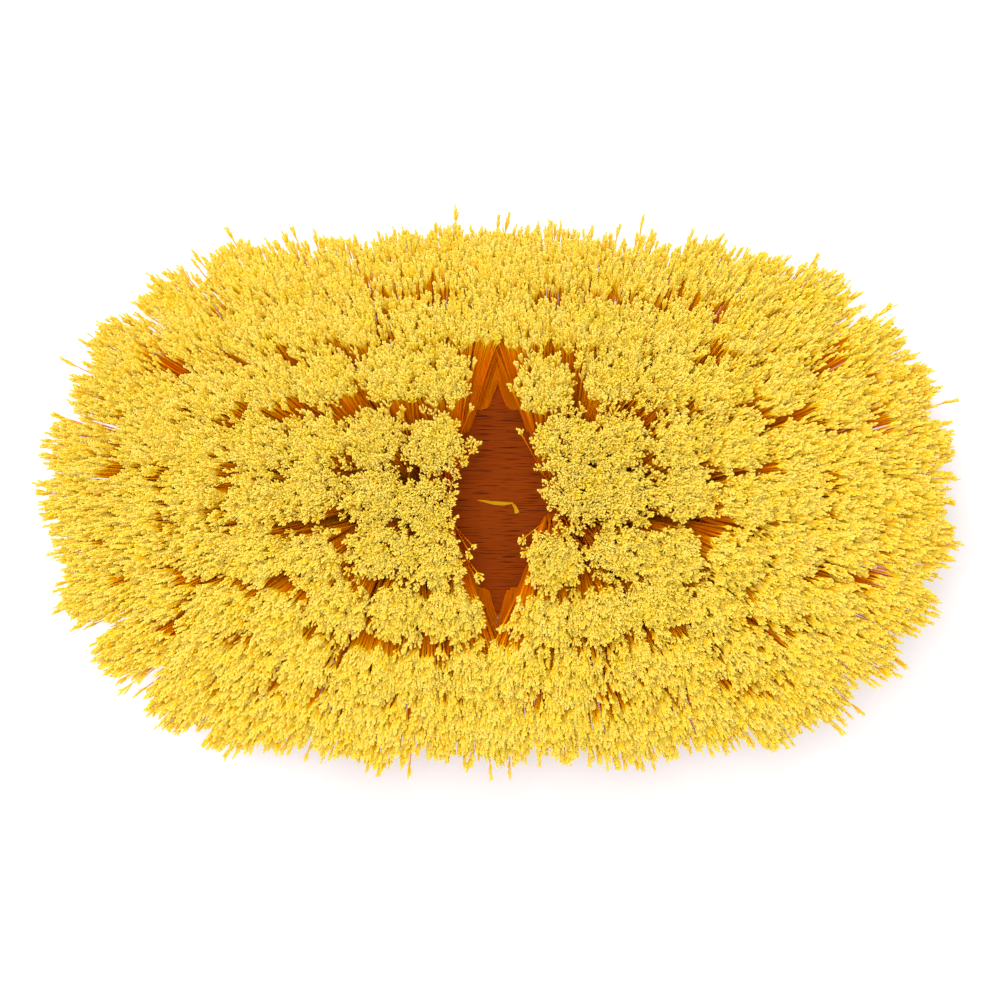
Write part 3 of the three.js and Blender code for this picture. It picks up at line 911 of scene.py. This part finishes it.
def make_loose_bristle(bristle):
    """A bent bristle on the block's face, thin at one end and swollen at the other."""
    points = [Vector(p) + Vector((0, 0, BLOCK_THICKNESS)) for p in LOOSE_BRISTLE]
    rings = []
    last = len(points) - 1
    for i, point in enumerate(points):
        ahead = (points[min(i + 1, last)] - points[max(i - 1, 0)]).normalized()
        side = ahead.cross(Vector((0, 0, 1))).normalized()
        over = side.cross(ahead)
        radius = LOOSE_THICKNESS / 2 * LOOSE_SWELL[i]
        turns = [2 * math.pi * k / LOOSE_SIDES for k in range(LOOSE_SIDES)]
        rings.append([point + (side * math.cos(a) + over * math.sin(a)) * radius for a in turns])
    mesh = loft("loose_bristle", rings)
    close_and_shade(mesh)
    # Coloured as a split tip where it swells; the paler swollen middle is also a painted highlight
    along = mesh.attributes.new("along", "FLOAT", "POINT")
    for i, value in enumerate(along.data):
        value.value = 1 + LOOSE_SWELL[i // LOOSE_SIDES] / 2
    mesh.materials.append(bristle)
    return new_piece("loose_bristle", mesh)


def bristle_node(row):
    """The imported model's node that holds a row's strands."""
    side = "back" if row > 0 else "front"
    ring = "outer" if abs(row) > ROWS_PER_SIDE // 2 else "inner"
    return f"bristles_{side}_{ring}"


# Studio
def make_floor():
    half = FLOOR_HALF
    mesh = bpy.data.meshes.new("floor")
    corners = [(-half, -half, 0), (half, -half, 0), (half, half, 0), (-half, half, 0)]
    mesh.from_pydata(corners, [], [(0, 1, 2, 3)])
    mesh.materials.append(floor_paint())
    floor = new_piece("floor", mesh)


def make_light(name, place, width, power):
    lamp = bpy.data.lights.new(name, "AREA")
    lamp.size = width
    lamp.energy = power
    light = bpy.data.objects.new(name, lamp)
    light.location = place
    light.rotation_euler = (Vector(LIGHT_TARGET) - Vector(place)).to_track_quat("-Z", "Y").to_euler()
    bpy.context.scene.collection.objects.link(light)


def make_world():
    """White all round for the camera, and a softer light on the object."""
    world = bpy.data.worlds.new("studio")
    world.use_nodes = True
    tree = world.node_tree
    tree.nodes.clear()
    strength = between(tree, seen_directly(tree), low=SKY_LIGHT, high=1.0)
    sky = add(tree, "ShaderNodeBackground", {"Color": (1.0, 1.0, 1.0, 1.0), "Strength": strength})
    add(tree, "ShaderNodeOutputWorld", {"Surface": sky})
    bpy.context.scene.world = world


def make_camera():
    """Looks straight down, with the object's middle at its pixel of the photograph."""
    lens = bpy.data.cameras.new("camera")
    lens.sensor_fit = "HORIZONTAL"
    lens.angle = 2 * math.atan(IMAGE_PIXELS * TIP_PIXEL / 2 / CAMERA_DISTANCE)
    camera = bpy.data.objects.new("camera", lens)
    across = (IMAGE_PIXELS / 2 - OBJECT_CENTRE_PIXEL[0]) * TIP_PIXEL
    along = (OBJECT_CENTRE_PIXEL[1] - IMAGE_PIXELS / 2) * TIP_PIXEL
    camera.location = (across, along, BLOCK_THICKNESS + TRIM_LENGTH + CAMERA_DISTANCE)
    bpy.context.scene.collection.objects.link(camera)
    bpy.context.scene.camera = camera


wood = lacquered_hardwood()
bristle = flagged_bristle()
vinyl = extruded_vinyl()
wire = plated_steel("drawn_steel_wire", 0.6 * MM, "#C4C6C9", "#9FA2A6")
zinc = plated_steel("zinc_plated_steel", 1.4 * MM, "#D2D4D6", "#B4B6B8")

block = make_block(wood)
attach(block, "root")
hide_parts("hardwood_block")

bumper = make_bumper(vinyl)
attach(bumper, "root")
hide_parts("bumper_strip")

tacks = make_tacks(zinc)
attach(tacks, "root")
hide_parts(*[f"bumper_tack_{i + 1}" for i in range(TACK_COUNT)])

tufts = tuft_tree()
for row in ALL_ROWS:
    piece = make_tufts(row, tufts, bristle)
    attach(piece, "root")
    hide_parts(bristle_node(row))

loose = make_loose_bristle(bristle)
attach(loose, "root")

for name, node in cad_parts.items():
    if name.startswith("anchors_row"):
        node.data.materials.clear()
        node.data.materials.append(wire)

make_floor()
make_world()
make_light("key", KEY_PLACE, KEY_WIDTH, KEY_POWER)
make_light("top", TOP_PLACE, TOP_WIDTH, TOP_POWER)
make_camera()
bpy.context.scene.view_settings.view_transform = "Standard"
